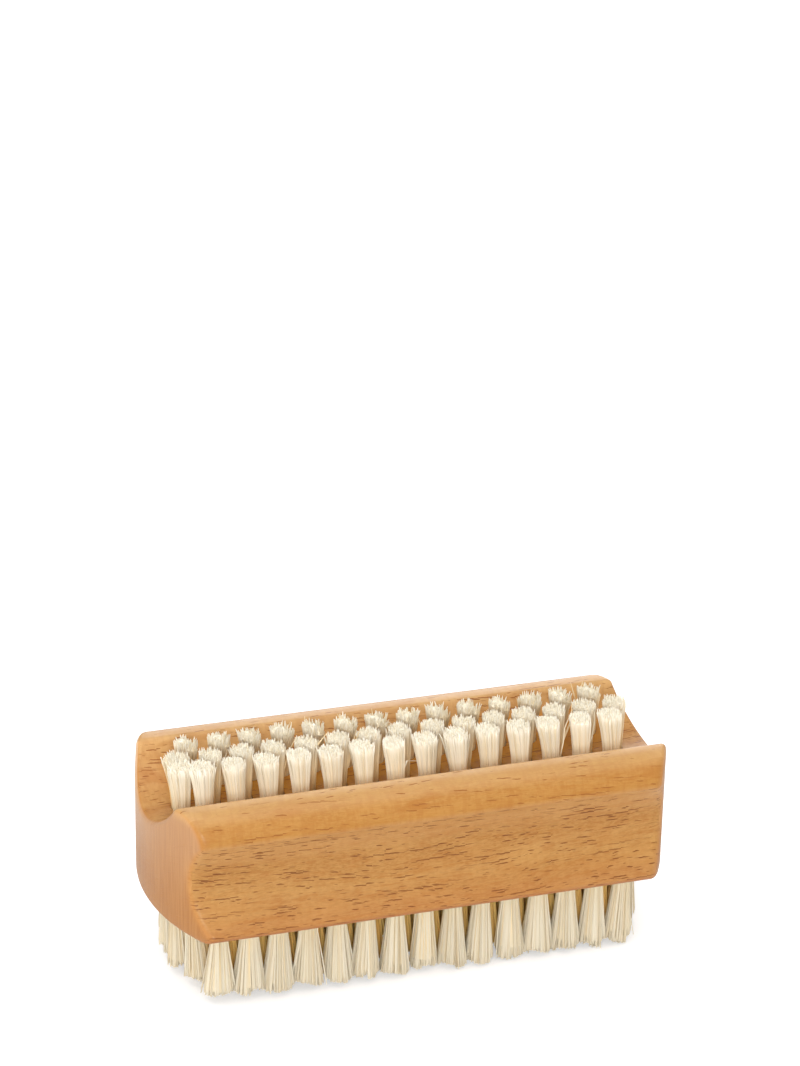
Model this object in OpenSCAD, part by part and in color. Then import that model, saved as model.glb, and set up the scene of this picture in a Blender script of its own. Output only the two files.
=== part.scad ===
// Nail brush: a beech block with a hollow channel of bristles on top and a bristle field below.
// X runs along the block, -Y is the side towards the viewer and Z is up.
// The origin lies under the middle of the brush, on the plane of the lower bristle tips.
// Every tuft is folded round a flat wire anchor and driven into a blind bore.

/* [Block] */
// Length over the rounded ends
block_l = 95; // [85:1:120]
// Width at the foot
block_w = 43.4; // [42.4:0.2:50]
// Height from the flat underside to the crest of the walls
block_h = 23.3; // [22.3:0.1:30]
// Radius of the rounded ends, seen from above
end_r = 38.5; // [30:0.5:80]
// Radius of the lower edges
edge_r = 2.2; // [1:0.1:3]

/* [Finger grooves] */
// Width of the block between the bottoms of the two finger grooves
waist_w = 34.3; // [33.6:0.1:37]
// Radius of a finger groove
groove_r = 11; // [9:0.5:16]
// Height of the groove's deepest line above the underside
groove_z = 10.7; // [10:0.1:12.5]

/* [Walls and channel] */
// Width over the rounded beads of the two walls
bead_w = 40.4; // [38:0.2:42]
// Radius of a bead
bead_r = 5.7; // [3:0.1:6.5]
// Radius of the channel between the walls
channel_r = 16.3; // [14:0.1:20]
// Depth of the channel under the crest
channel_d = 7; // [4:0.1:8]

/* [Bores] */
// Diameter of a bore
bore_d = 3.2; // [2.6:0.1:3.6]
// Depth of a bore's straight wall
bore_depth = 6.2; // [5:0.1:6.6]
// Angle of the drill point at the bottom of a bore
drill_angle = 118; // [90:1:140]

/* [Upper bristles] */
// Distance between the tufts of a row
top_pitch = 5.8; // [5.2:0.1:8]
// Distance between two rows
top_row_gap = 6; // [5.4:0.1:6.8]
// Least distance from the block's end to the middle row's outermost bore
top_margin = 6.8; // [5.5:0.1:12]
// Height of the front row's tips over the crest of the walls
top_front_stand = 3.8; // [0:0.1:6]
// Height of the middle row's tips over the crest of the walls
top_middle_stand = 2.7; // [0:0.1:6]
// Height of the back row's tips over the crest of the walls
top_back_stand = 2.2; // [0:0.1:6]
// Diameter of a tuft at its tips
top_tip_d = 4.7; // [3.4:0.1:5]
// How far the odd tuft at the left end stands outside the middle row's first one
odd_tuft_out = 0.6; // [0:0.1:1.2]
// How far the odd tuft stands in front of the middle row
odd_tuft_front = 4; // [3.8:0.1:4.2]
// How much the lengths of the upper tufts' strands differ
top_ragged = 0.5; // [0:0.1:1]

/* [Lower bristles] */
// Length of the lower tufts outside the wood, before the tips are cut flat
bottom_grown = 15.5; // [8:0.5:25]
// How much is cut off the lower tips, so that they stand on one plane
rest_cut = 0.5; // [0.3:0.1:1]
// Least distance between the tufts of a row
bottom_pitch = 5.3; // [5:0.1:8]
// Distance from the block's side to the outer rows
bottom_side_margin = 7.2; // [6:0.1:8]
// Distance from the block's end to the outermost bores of the lower field
bottom_end_margin = 5.45; // [4:0.05:10]
// Radius of the curve on which the rows end
bottom_curve_r = 25; // [20:0.5:60]
// Diameter of a tuft at its tips
bottom_tip_d = 4.8; // [3.4:0.1:5]

/* [Anchors] */
// Thickness of the flat wire
anchor_t = 0.4; // [0.2:0.05:0.6]
// Height of the flat wire
anchor_h = 1.8; // [1.2:0.1:2.4]
// How far each end bites into the wood beside its bore
anchor_bite = 0.3; // [0.1:0.05:0.5]
// Bristle folded under the anchor
anchor_seat = 1; // [0.6:0.1:1.4]

/* [Backing] */
// Width of the slice of wood that joins the tufts of a row
slice_w = 1.6; // [1:0.1:2.4]
// Thickness of that slice
slice_t = 0.8; // [0.5:0.1:1.2]
// Clearance round the folded bristle, the slice and the anchor
fit_gap = 0.05; // [0.02:0.01:0.1]

/* [Hidden] */

// Extra length of every cutting shape
over = 2;
// Strands of one tuft, above and below
top_strands = 4;
bottom_strands = 3;
// Half the slit between two strands of a tuft, at the root and at the tips
slit_root = 0.04;
slit_tip = 0.2;
// How far a strand's root lies under the lowest rim of its bore
root_sink = 0.4;
// Bristle left between a strand's root and the bore's wall
root_rim = 0.25;
// Turn of the wave that sets the strands' lengths, from one strand to the next
ragged_step = 137;
bottom_rows = 6;

foot_z = bottom_grown - rest_cut;
crest_z = foot_z + block_h;
bore_r = bore_d / 2;
plug_r = bore_r - fit_gap;
root_r = plug_r - root_rim;
point_h = bore_r / tan(drill_angle / 2);
bead_y = bead_w / 2 - bead_r;
channel_z = block_h - channel_d + channel_r;

// Height of the channel's floor at a distance from the middle
function floor_z(y) = foot_z + channel_z - sqrt(channel_r * channel_r - y * y);

// Places of a row's bores, with the height of the wood's surface there and which way the mouth faces
function row_x(count, pitch) = [for (i = [0 : count - 1]) (i - (count - 1) / 2) * pitch];
function top_row(count, y) = [for (x = row_x(count, top_pitch)) [x, y, floor_z(y), 1]];

middle_count = floor((block_l - 2 * top_margin) / top_pitch) + 1;
top_middle = top_row(middle_count, 0);
top_front = top_row(middle_count - 1, -top_row_gap);
top_back = top_row(middle_count - 1, top_row_gap);
odd_x = top_middle[0].x - odd_tuft_out;
top_odd = [[odd_x, -odd_tuft_front, floor_z(odd_tuft_front), 1]];

bottom_row_gap = (block_w - 2 * bottom_side_margin) / (bottom_rows - 1);
function bottom_y(row) = (row - (bottom_rows - 1) / 2) * bottom_row_gap;
function curve_drop(y) = bottom_curve_r - sqrt(bottom_curve_r * bottom_curve_r - y * y);
function bottom_reach(row) = block_l / 2 - bottom_end_margin - curve_drop(bottom_y(row));
function bottom_gaps(row) = floor(2 * bottom_reach(row) / bottom_pitch);
function bottom_row(row) =
    [for (x = row_x(bottom_gaps(row) + 1, 2 * bottom_reach(row) / bottom_gaps(row)))
        [x, bottom_y(row), foot_z, -1]];

// Cross section of the block, across its length
module block_section() {
    difference() {
        union() {
            translate([-block_w / 2, edge_r]) square([block_w, groove_z - edge_r]);
            translate([-block_w / 2 + edge_r, 0]) square([block_w - 2 * edge_r, groove_z]);
            translate([-bead_w / 2, edge_r]) square([bead_w, block_h - bead_r - edge_r]);
            translate([-bead_y, edge_r]) square([2 * bead_y, block_h - edge_r]);
            for (side = [-1, 1]) {
                translate([side * (block_w / 2 - edge_r), edge_r]) circle(r = edge_r, $fn = 64);
                translate([side * bead_y, block_h - bead_r]) circle(r = bead_r, $fn = 128);
            }
        }
        for (side = [-1, 1])
            translate([side * (waist_w / 2 + groove_r), groove_z]) circle(r = groove_r, $fn = 180);
        translate([0, channel_z]) circle(r = channel_r, $fn = 180);
    }
}

// The block before it is drilled
module block_body() {
    translate([0, 0, foot_z])
        intersection() {
            rotate([90, 0, 90]) linear_extrude(height = block_l, center = true) block_section();
            union()
                for (side = [-1, 1])
                    translate([side * (block_l / 2 - end_r), 0, 0])
                        cylinder(r = end_r, h = block_h, $fn = 360);
        }
}

// Puts a shape in every bore of a row, with its own Z out of the bore's mouth
module in_bores(spots) {
    for (spot = spots)
        translate([spot.x, spot.y, spot.z])
            rotate([spot[3] > 0 ? 0 : 180, 0, 0])
                children();
}

// A blind bore with its drill point, open past the mouth
module bore() {
    rotate_extrude($fn = 48)
        polygon([[0, -bore_depth - point_h], [bore_r, -bore_depth], [bore_r, over], [0, over]]);
}

// Room for the anchor, or with no clearance the anchor itself
module anchor_bar(gap) {
    length = bore_d + 2 * anchor_bite + 2 * gap;
    translate([-length / 2, -anchor_t / 2 - gap, -bore_depth + anchor_seat - gap])
        cube([length, anchor_t + 2 * gap, anchor_h + 2 * gap]);
}

// The slice of wood along a row, or with a clearance the rebate that it lies in
module row_slice(spots, gap) {
    first = spots[0];
    last = spots[len(spots) - 1];
    if (len(spots) > 1)
        translate([first.x, first.y, first.z])
            rotate([first[3] > 0 ? 0 : 180, 0, 0])
                translate([0, -slice_w / 2 - gap, -slice_t - gap])
                    cube([last.x - first.x, slice_w + 2 * gap, slice_t + gap + over]);
}

// The folded bristle inside the bores, joined by its slice and flush with the wood
module row_backing(spots) {
    difference() {
        intersection() {
            block_body();
            union() {
                in_bores(spots)
                    translate([0, 0, -bore_depth + fit_gap])
                        cylinder(r = plug_r, h = bore_depth - fit_gap + over, $fn = 48);
                row_slice(spots, 0);
            }
        }
        in_bores(spots) anchor_bar(fit_gap);
    }
}

// Outline of one strand of a tuft at one height: a sector of the tuft with a slit on either side
function strand_ring(spot, k, count, r, slit, z) =
    let (middle = 360 / count * (k + 0.5),
         half = 180 / count - asin(slit / r),
         inner = slit / sin(180 / count))
    [[spot.x + inner * cos(middle), spot.y + inner * sin(middle), z],
     [spot.x + r * cos(middle - half), spot.y + r * sin(middle - half), z],
     [spot.x + r * cos(middle), spot.y + r * sin(middle), z],
     [spot.x + r * cos(middle + half), spot.y + r * sin(middle + half), z]];

// Triangles of one strand, from its lower ring to its upper ring
function strand_faces(first) =
    [for (face = [[0, 1, 2], [0, 2, 3], [4, 6, 5], [4, 7, 6],
                  [0, 4, 5], [0, 5, 1], [1, 5, 6], [1, 6, 2],
                  [2, 6, 7], [2, 7, 3], [3, 7, 4], [3, 4, 0]])
        [first + face[0], first + face[1], first + face[2]]];

// Lowest height of the wood round the mouth of an upper bore
function rim_z(spot) = floor_z(max(abs(spot.y) - bore_r, 0));

// A strand's tip, a little lower than its longest neighbours
function tip_z(stand, i, k) = crest_z + stand - top_ragged * (1 + sin(ragged_step * (i * top_strands + k))) / 2;

module top_tufts(spots, stand) {
    points = [for (i = [0 : len(spots) - 1], k = [0 : top_strands - 1])
        concat(strand_ring(spots[i], k, top_strands, root_r, slit_root, rim_z(spots[i]) - root_sink),
               strand_ring(spots[i], k, top_strands, top_tip_d / 2, slit_tip, tip_z(stand, i, k)))];
    polyhedron(points = [for (strand = points) each strand],
               faces = [for (i = [0 : len(points) - 1]) each strand_faces(i * len(points[0]))]);
}

module bottom_tufts(spots) {
    points = [for (spot = spots, k = [0 : bottom_strands - 1])
        concat(strand_ring(spot, k, bottom_strands, bottom_tip_d / 2, slit_tip, 0),
               strand_ring(spot, k, bottom_strands, root_r, slit_root, foot_z + root_sink))];
    polyhedron(points = [for (strand = points) each strand],
               faces = [for (i = [0 : len(points) - 1]) each strand_faces(i * len(points[0]))]);
}

module wood_block() {
    color("#d39a5b")
        difference() {
            block_body();
            for (spots = concat([top_front, top_middle, top_back, top_odd],
                                [for (row = [0 : bottom_rows - 1]) bottom_row(row)])) {
                in_bores(spots) bore();
                in_bores(spots) anchor_bar(fit_gap);
                row_slice(spots, fit_gap);
            }
        }
}

module upper_bristles(spots, stand) {
    color("#eee6d2")
        union() {
            row_backing(spots);
            top_tufts(spots, stand);
        }
}

module lower_bristles(row) {
    color("#e6dcc2")
        union() {
            row_backing(bottom_row(row));
            bottom_tufts(bottom_row(row));
        }
}

module anchors(spots) {
    color("#a9abad") in_bores(spots) anchor_bar(0);
}

wood_block();
upper_bristles(top_front, top_front_stand);  // top_front_bristles
upper_bristles(top_middle, top_middle_stand);  // top_middle_bristles
upper_bristles(top_back, top_back_stand);  // top_back_bristles
upper_bristles(top_odd, top_front_stand);  // top_odd_bristles
anchors(top_front);  // top_front_anchors
anchors(top_middle);  // top_middle_anchors
anchors(top_back);  // top_back_anchors
anchors(top_odd);  // top_odd_anchor
lower_bristles(0);  // bottom_bristles_1
lower_bristles(1);  // bottom_bristles_2
lower_bristles(2);  // bottom_bristles_3
lower_bristles(3);  // bottom_bristles_4
lower_bristles(4);  // bottom_bristles_5
lower_bristles(5);  // bottom_bristles_6
anchors(bottom_row(0));  // bottom_anchors_1
anchors(bottom_row(1));  // bottom_anchors_2
anchors(bottom_row(2));  // bottom_anchors_3
anchors(bottom_row(3));  // bottom_anchors_4
anchors(bottom_row(4));  // bottom_anchors_5
anchors(bottom_row(5));  // bottom_anchors_6
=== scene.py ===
"""Nail brush: an oiled beech block with pale bristle tufts above and below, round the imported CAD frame.

Lengths are in millimetres, in the part's own axes, and become metres where an object is made.
"""

import math
from contextlib import contextmanager
from functools import partialmethod
from types import SimpleNamespace

import bmesh
import bpy
import numpy as np
from mathutils import Matrix, Vector
from mathutils.geometry import delaunay_2d_cdt

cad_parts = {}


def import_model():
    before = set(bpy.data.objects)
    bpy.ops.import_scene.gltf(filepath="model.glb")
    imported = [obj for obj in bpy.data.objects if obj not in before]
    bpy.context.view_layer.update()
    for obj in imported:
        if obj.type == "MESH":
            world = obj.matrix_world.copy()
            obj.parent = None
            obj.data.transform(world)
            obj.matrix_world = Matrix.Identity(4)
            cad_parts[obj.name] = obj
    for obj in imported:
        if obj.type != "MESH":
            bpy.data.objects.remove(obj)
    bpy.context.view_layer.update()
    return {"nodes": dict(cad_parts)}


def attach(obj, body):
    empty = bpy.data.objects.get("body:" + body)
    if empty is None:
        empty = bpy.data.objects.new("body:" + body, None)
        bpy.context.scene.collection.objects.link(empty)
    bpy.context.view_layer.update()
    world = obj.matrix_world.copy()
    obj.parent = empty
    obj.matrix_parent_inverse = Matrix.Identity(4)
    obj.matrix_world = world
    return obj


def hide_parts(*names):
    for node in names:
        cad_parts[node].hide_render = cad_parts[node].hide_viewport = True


MM = 0.001
SEED = 11
LOWER_SEED = 20  # added to the seeds of the lower rows

# Block: FOOT_Z is the height of its underside, and the other heights are above that
FOOT_Z = 15.0
BLOCK_L, BLOCK_W, BLOCK_H = 95.0, 43.4, 23.3
END_R, EDGE_R = 38.5, 2.2
WAIST_W, GROOVE_R, GROOVE_Z = 34.3, 11.0, 10.7
BEAD_W, BEAD_R = 40.4, 5.7
CHANNEL_R, CHANNEL_D = 15.6, 7.0
CHANNEL_Z = BLOCK_H - CHANNEL_D + CHANNEL_R
BEAD_FOOT_Z = 33.26  # the crease between groove and bead, measured from the part's own zero

# How finely the block is meshed and how softly its corners are rounded
ARC_POINTS = 60
PROFILE_STEP = 0.3
PROFILE_SOFTEN = 0.35
END_SOFTEN = 1.1
END_RINGS = (14, 32, 50, 70, 90)  # degrees round the rounding of an end face
RING_KEPT = 0.97  # a point goes if the outline is nearer than this share of its ring's depth
BLOCK_STATIONS = 72
CAP_STEP = 1.2
SHARP_ANGLE = 40.0

# Bores
BORE_R, BORE_DEPTH, DRILL_ANGLE, BORE_OVER = 1.6, 6.2, 118.0, 2.0
BORE_SIDES = 28

# Upper tufts: what they stand over the beads is by row
TOP_PITCH, TOP_ROW_GAP = 5.8, 6.0
TOP_COUNTS = {"front": 14, "middle": 15, "back": 14}
ODD_OUT, ODD_FRONT = 0.6, 4.0
TOP_STANDS = {"front": 3.2, "middle": 3.0, "back": 3.6, "odd": 3.3}
TOP_TIP_R = 2.2

# Lower tufts
BOTTOM_ROWS = 6
BOTTOM_SIDE_MARGIN, BOTTOM_END_MARGIN = 7.2, 5.45
BOTTOM_CURVE_R, BOTTOM_PITCH, BOTTOM_TIP_R = 25.0, 5.3, 2.8

# Single bristles
BRISTLE_R = 0.14
BRISTLE_SIDES = 3
BRISTLE_GROWTH = 0.5  # share of a tuft's widening that its bristles follow in thickness
SHOULDER_AT = 0.93  # share of a bristle's length where its tip begins
SHORTEST = 2.0
ROOT_R = BORE_R - 0.2
ROOT_DEPTH = 5.0
ROOT_NOISE = 0.04
WIRE_GAP = 0.3  # half the width that the anchor keeps free between a tuft's two halves
END_X = 37.0  # the last lower tuft at each end of a row stands past it
WORN_FROM_X = 10.0  # from here on to the left the changes for the left end grow
DEEP_INSIDE = 3.0  # from the outer side of the lower field to where it is fully inside
WARM_SHADE_TOP, WARM_SHADE_FADE = 0.92, 0.4  # shares of a bristle's run: where the painted warm shade ends, and its fade
LOOSE_RUN = 0.5  # the run that a loose bristle's colour and thickness are taken at
LOOSE_ROOT = 2.0

# Random draws for each tuft or bristle, as shares of a value in the row's style
WIDTH_DRAW, FLARE_DRAW = (0.92, 1.1), (0.88, 1.12)
PULL_DRAW, SPLIT_DRAW = (0.3, 1.0), (0.4, 1.2)
TALL_DRAW, THICK_DRAW = (0.0, 0.5), (0.75, 1.25)
CLUMP_DISC = 0.8  # the clumps' middles lie within this share of the tip radius
STRAY_LEAST = 0.3

# Packed middle of a tuft
HEART_SIDES = 40
HEART_RINGS = (-0.3, 0.0, 0.25, 0.5, 0.75, 1.0)  # shares of its length, from inside the bore to its top
HEART_TOP = (0.87, 0.7, 0.52, 0.34, 0.16)  # sizes of the rings across its domed top
HEART_FLUTE = (0.92, 1.01)
HEART_ROUGH = 0.4

# Camera, in the photograph's own frame of 800 by 1066 pixels
PHOTO_W, PHOTO_H = 800, 1066
FOCAL_PX = 3299.0
SENSOR = 36.0
CAMERA_AZIMUTH, CAMERA_ELEVATION, CAMERA_ROLL = -18.34, 23.81, 1.19
CAMERA_TARGET = (12.48, 41.07, 59.70)
CAMERA_DISTANCE = 615.24

# Studio: lamps have a place, a point that they face, the side of their square, and watts
FLOOR_HALF, FLOOR_WHITE, FLOOR_GLOW = 700.0, 0.9, 0.4
WORLD_LIGHT, WORLD_SHOWN = 0.42, 1.0
LAMPS = {
    "overhead": ((-150, -100, 1000), (0, 0, 25), 900, 5.9),
    "front": ((-260, -790, 350), (0, 0, 25), 260, 3.8),
    "left": ((-900, -250, 200), (0, 0, 15), 400, 1.5),
    "back": ((350, 850, 300), (0, 0, 20), 500, 2.9),
    "right": ((900, -150, 220), (0, 0, 15), 400, 0.9),
}


# Objects


def placed(name, data):
    """A new object in the scene with the given mesh, lamp or camera."""
    made = bpy.data.objects.new(name, data)
    bpy.context.scene.collection.objects.link(made)
    return made


def mesh_object(name, points, faces, smooth=True):
    """A mesh object from points in millimetres and lists of vertex numbers, all faces smooth or all flat."""
    mesh = bpy.data.meshes.new(name)
    points = np.asarray(points, np.float32) * MM
    sizes = np.array([len(f) for f in faces], np.int32)
    starts = np.concatenate([[0], np.cumsum(sizes)[:-1]]).astype(np.int32)
    corners = np.concatenate([np.asarray(f, np.int32) for f in faces])
    mesh.vertices.add(len(points))
    mesh.vertices.foreach_set("co", points.ravel())
    mesh.loops.add(len(corners))
    mesh.loops.foreach_set("vertex_index", corners)
    mesh.polygons.add(len(faces))
    mesh.polygons.foreach_set("loop_start", starts)
    mesh.polygons.foreach_set("use_smooth", np.full(len(faces), smooth))
    mesh.update(calc_edges=True)
    mesh.validate()
    return placed(name, mesh)


# Shape of the block


def end_x(y):
    """Half length of the block at a distance from its middle plane."""
    return BLOCK_L / 2 - END_R + np.sqrt(END_R**2 - np.asarray(y) ** 2)


def floor_z(y):
    """Height of the channel's floor in the part's axes."""
    return FOOT_Z + CHANNEL_Z - math.sqrt(CHANNEL_R**2 - y * y)


def circles_meet(a, ra, b, rb, upper):
    """Where two circles cross: the upper or the lower of the two points."""
    a, b = np.array(a, float), np.array(b, float)
    gap = np.linalg.norm(b - a)
    along = (ra**2 - rb**2 + gap**2) / (2 * gap)
    out = math.sqrt(ra**2 - along**2)
    way = (b - a) / gap
    across = np.array([-way[1], way[0]])
    found = [a + along * way + side * out * across for side in (-1, 1)]
    return (max if upper else min)(found, key=lambda p: p[1])


def polar(radius, turns):
    """Points (x, y) about zero, from their distances and turns."""
    return np.stack([radius * np.cos(turns), radius * np.sin(turns)], 1)


def arc(centre, radius, start, end):
    """Points of an arc from one point to another, the short way round."""
    first = math.atan2(start[1] - centre[1], start[0] - centre[0])
    turn = math.atan2(end[1] - centre[1], end[0] - centre[0]) - first
    turn = (turn + math.pi) % (2 * math.pi) - math.pi
    return np.array(centre) + polar(radius, first + turn * np.linspace(0, 1, ARC_POINTS))


def half_profile():
    """The right half of the block's cross section, from the underside's middle to the channel's floor."""
    edge, groove = (BLOCK_W / 2 - EDGE_R, EDGE_R), (WAIST_W / 2 + GROOVE_R, GROOVE_Z)
    bead, channel = (BEAD_W / 2 - BEAD_R, BLOCK_H - BEAD_R), (0, CHANNEL_Z)
    lower = circles_meet(edge, EDGE_R, groove, GROOVE_R, upper=False)
    upper = circles_meet(groove, GROOVE_R, bead, BEAD_R, upper=True)
    lip = (math.sqrt(CHANNEL_R**2 - (CHANNEL_Z - BLOCK_H) ** 2), BLOCK_H)
    parts = [
        [(0, 0)],
        arc(edge, EDGE_R, (edge[0], 0), lower),
        arc(groove, GROOVE_R, lower, upper),
        arc(bead, BEAD_R, upper, (bead[0], BLOCK_H)),
        arc(channel, CHANNEL_R, lip, (0, BLOCK_H - CHANNEL_D)),
    ]
    return np.concatenate(parts)


def resampled(loop, step):
    """A closed outline as evenly spaced points."""
    closed = np.vstack([loop, loop[:1]])
    run = np.concatenate([[0], np.cumsum(np.linalg.norm(np.diff(closed, axis=0), axis=1))])
    count = int(round(run[-1] / step))
    at = np.arange(count) * run[-1] / count
    return np.stack([np.interp(at, run, closed[:, k]) for k in (0, 1)], 1)


def softened(loop, step, width):
    """A closed outline with its corners rounded by a running average."""
    reach = int(4 * width / step)
    weights = np.exp(-0.5 * (np.arange(-reach, reach + 1) * step / width) ** 2)
    weights /= weights.sum()
    return sum(w * np.roll(loop, k - reach, axis=0) for k, w in enumerate(weights))


def block_outline():
    """The closed cross section with softened corners, anticlockwise seen along the block from +X."""
    right = half_profile()
    left = right[-2:0:-1] * (-1, 1)
    return softened(resampled(np.vstack([right, left]), PROFILE_STEP), PROFILE_STEP, PROFILE_SOFTEN)


def distance_to(loop, points):
    """Distance of each point from a closed outline."""
    start, way = loop, np.roll(loop, -1, axis=0) - loop
    best = np.full(len(points), np.inf)
    for a, w in zip(start, way):
        t = np.clip((points - a) @ w / (w @ w), 0, 1)
        best = np.minimum(best, np.linalg.norm(points - a - t[:, None] * w, axis=1))
    return best


def inside(loop, points):
    """Which points lie inside a closed outline."""
    x0, y0 = loop.T
    x1, y1 = np.roll(loop, -1, axis=0).T
    hit = np.zeros(len(points), int)
    for a, b, c, d in zip(x0, y0, x1, y1):
        crosses = (b > points[:, 1]) != (d > points[:, 1])
        level = a + (points[:, 1] - b) * (c - a) / (d - b if d != b else 1e-9)
        hit += crosses & (points[:, 0] < level)
    return hit % 2 == 1


def end_drop(distance):
    """How far an end face stands back from its full length, at a distance from its outline."""
    left = np.clip(END_SOFTEN - distance, 0, None)
    return END_SOFTEN - np.sqrt(END_SOFTEN**2 - left**2)


def cap_points(loop):
    """Points of an end face: the outline first, then rings over its rounding, then a grid."""
    ahead, behind = np.roll(loop, -1, axis=0), np.roll(loop, 1, axis=0)
    way = (ahead - behind) / np.linalg.norm(ahead - behind, axis=1)[:, None]
    inward = np.stack([-way[:, 1], way[:, 0]], 1)
    parts = [loop]
    for angle in END_RINGS:
        depth = END_SOFTEN * (1 - math.cos(math.radians(angle)))
        ring = loop + inward * depth
        parts.append(ring[distance_to(loop, ring) > RING_KEPT * depth])
    low, high = loop.min(0), loop.max(0)
    steps = [np.arange(low[k], high[k], CAP_STEP) for k in (0, 1)]
    grid = np.stack(np.meshgrid(*steps), -1).reshape(-1, 2)
    grid = grid[inside(loop, grid)]
    parts.append(grid[distance_to(loop, grid) > END_SOFTEN + CAP_STEP / 3])
    return np.vstack(parts)


def end_face(loop):
    """An end face: its points (y, z), its triangles, and each point's number in the outline or past it."""
    flat = cap_points(loop)
    triangles_inside, tolerance = 1, 1e-7
    outline = list(range(len(loop)))
    made = delaunay_2d_cdt([Vector(p) for p in flat], [], [outline], triangles_inside, tolerance)
    spots = np.array([list(v) for v in made[0]])
    return spots, made[2], [min(sources) if sources else len(flat) for sources in made[3]]


@contextmanager
def edited(mesh):
    """A mesh opened for editing, and written back at the end."""
    work = bmesh.new()
    work.from_mesh(mesh)
    yield work
    work.to_mesh(mesh)
    work.free()


def block_shell():
    """The undrilled block: its outline swept along X, with rounded end faces."""
    loop = block_outline()
    count = len(loop)
    reach = end_x(loop[:, 0]) - END_SOFTEN
    points = [np.column_stack([share * reach, loop]) for share in np.linspace(-1, 1, BLOCK_STATIONS)]
    faces = []
    ahead = np.roll(np.arange(count), -1)
    for j in range(BLOCK_STATIONS - 1):
        a, b = j * count, (j + 1) * count
        faces += [(b + i, b + n, a + n, a + i) for i, n in enumerate(ahead)]
    spots, triangles, in_outline = end_face(loop)
    depth = end_drop(distance_to(loop, spots))
    for side, ring in ((-1, 0), (1, (BLOCK_STATIONS - 1) * count)):
        base = sum(len(p) for p in points)
        points.append(np.column_stack([side * (end_x(spots[:, 0]) - depth), spots]))
        number = [ring + o if o < count else base + k for k, o in enumerate(in_outline)]
        for face in triangles:
            turned = face if side > 0 else face[::-1]
            faces.append(tuple(number[v] for v in turned))
    points = np.vstack(points)
    points[:, 2] += FOOT_Z
    shell = mesh_object("wood_block_shell", points, faces)
    with edited(shell.data) as work:
        bmesh.ops.delete(work, geom=[v for v in work.verts if not v.link_faces], context="VERTS")
        bmesh.ops.recalc_face_normals(work, faces=work.faces)
    return shell


# Places of the tufts, and their bores


def evenly(count, pitch):
    """Places along a line, a pitch apart, about its middle."""
    return [(i - (count - 1) / 2) * pitch for i in range(count)]


def top_rows():
    """Places of the upper tufts by row: x, y and the height of the wood at the mouth."""
    rows = {}
    for row, side in (("front", -1), ("middle", 0), ("back", 1)):
        y = side * TOP_ROW_GAP
        rows[row] = [(x, y, floor_z(y)) for x in evenly(TOP_COUNTS[row], TOP_PITCH)]
    odd_x = rows["middle"][0][0] - ODD_OUT
    rows["odd"] = [(odd_x, -ODD_FRONT, floor_z(ODD_FRONT))]
    return rows


def bottom_rows():
    """Places of the lower tufts by row, the front row first."""
    gap = (BLOCK_W - 2 * BOTTOM_SIDE_MARGIN) / (BOTTOM_ROWS - 1)
    rows = []
    for y in evenly(BOTTOM_ROWS, gap):
        drop = BOTTOM_CURVE_R - math.sqrt(BOTTOM_CURVE_R**2 - y * y)
        reach = BLOCK_L / 2 - BOTTOM_END_MARGIN - drop
        gaps = math.floor(2 * reach / BOTTOM_PITCH)
        rows.append([(x, y, FOOT_Z) for x in evenly(gaps + 1, 2 * reach / gaps)])
    return rows


def bore_cutters(spots):
    """One mesh of all the bores in a list of (x, y, z, way out), each a cylinder with a drill point."""
    point = BORE_R / math.tan(math.radians(DRILL_ANGLE / 2))
    points, faces = [], []
    for x, y, z, way in spots:
        base = len(points)
        for level in (BORE_OVER, -BORE_DEPTH):
            for k in range(BORE_SIDES):
                turn = 2 * math.pi * k / BORE_SIDES
                points.append((x + BORE_R * math.cos(turn), y + BORE_R * math.sin(turn), z + way * level))
        tip = len(points)
        points.append((x, y, z - way * (BORE_DEPTH + point)))
        top, low = range(base, base + BORE_SIDES), range(base + BORE_SIDES, tip)
        made = [tuple(top)]
        for k in range(BORE_SIDES):
            n = (k + 1) % BORE_SIDES
            made += [(top[k], low[k], low[n], top[n]), (low[k], tip, low[n])]
        faces += made if way > 0 else [f[::-1] for f in made]
    return mesh_object("bore_cutters", points, faces, smooth=False)


def sharpen(mesh, angle):
    """Marks the edges that turn by more than an angle as sharp and smooths the rest."""
    with edited(mesh) as work:
        for face in work.faces:
            face.smooth = True
        for edge in work.edges:
            edge.smooth = len(edge.link_faces) == 2 and edge.calc_face_angle(0) < math.radians(angle)


def wood_block():
    """The drilled block."""
    shell = block_shell()
    spots = [(*s, 1) for row in top_rows().values() for s in row]
    spots += [(*s, -1) for row in bottom_rows() for s in row]
    cutters = bore_cutters(spots)
    cut = shell.modifiers.new("bores", "BOOLEAN")
    cut.operation, cut.solver, cut.object = "DIFFERENCE", "MANIFOLD", cutters
    graph = bpy.context.evaluated_depsgraph_get()
    mesh = bpy.data.meshes.new_from_object(shell.evaluated_get(graph))
    for spare in (shell, cutters):
        bpy.data.objects.remove(spare)
    sharpen(mesh, SHARP_ANGLE)
    return placed("beech_block", mesh)


# Bristles


def sunflower(count, radius, rng):
    """Evenly scattered points in a disc."""
    k = np.arange(count)
    turn = k * math.pi * (3 - math.sqrt(5)) + rng.uniform(0, 2 * math.pi)
    points = polar(radius * np.sqrt((k + 0.5) / count), turn)
    return points + rng.normal(0, ROOT_NOISE, points.shape)


def left_share(spot):
    """How far to the left a tuft stands: 0 at WORN_FROM_X, 1 from the left end's tufts on."""
    return np.clip((WORN_FROM_X - spot[0]) / (WORN_FROM_X + END_X), 0, 1)


def left_growth(spot, style):
    """How much wider than its row a tuft spreads, for standing at the left end."""
    return 1 + style["left_wide"] * left_share(spot) ** 4


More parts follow.
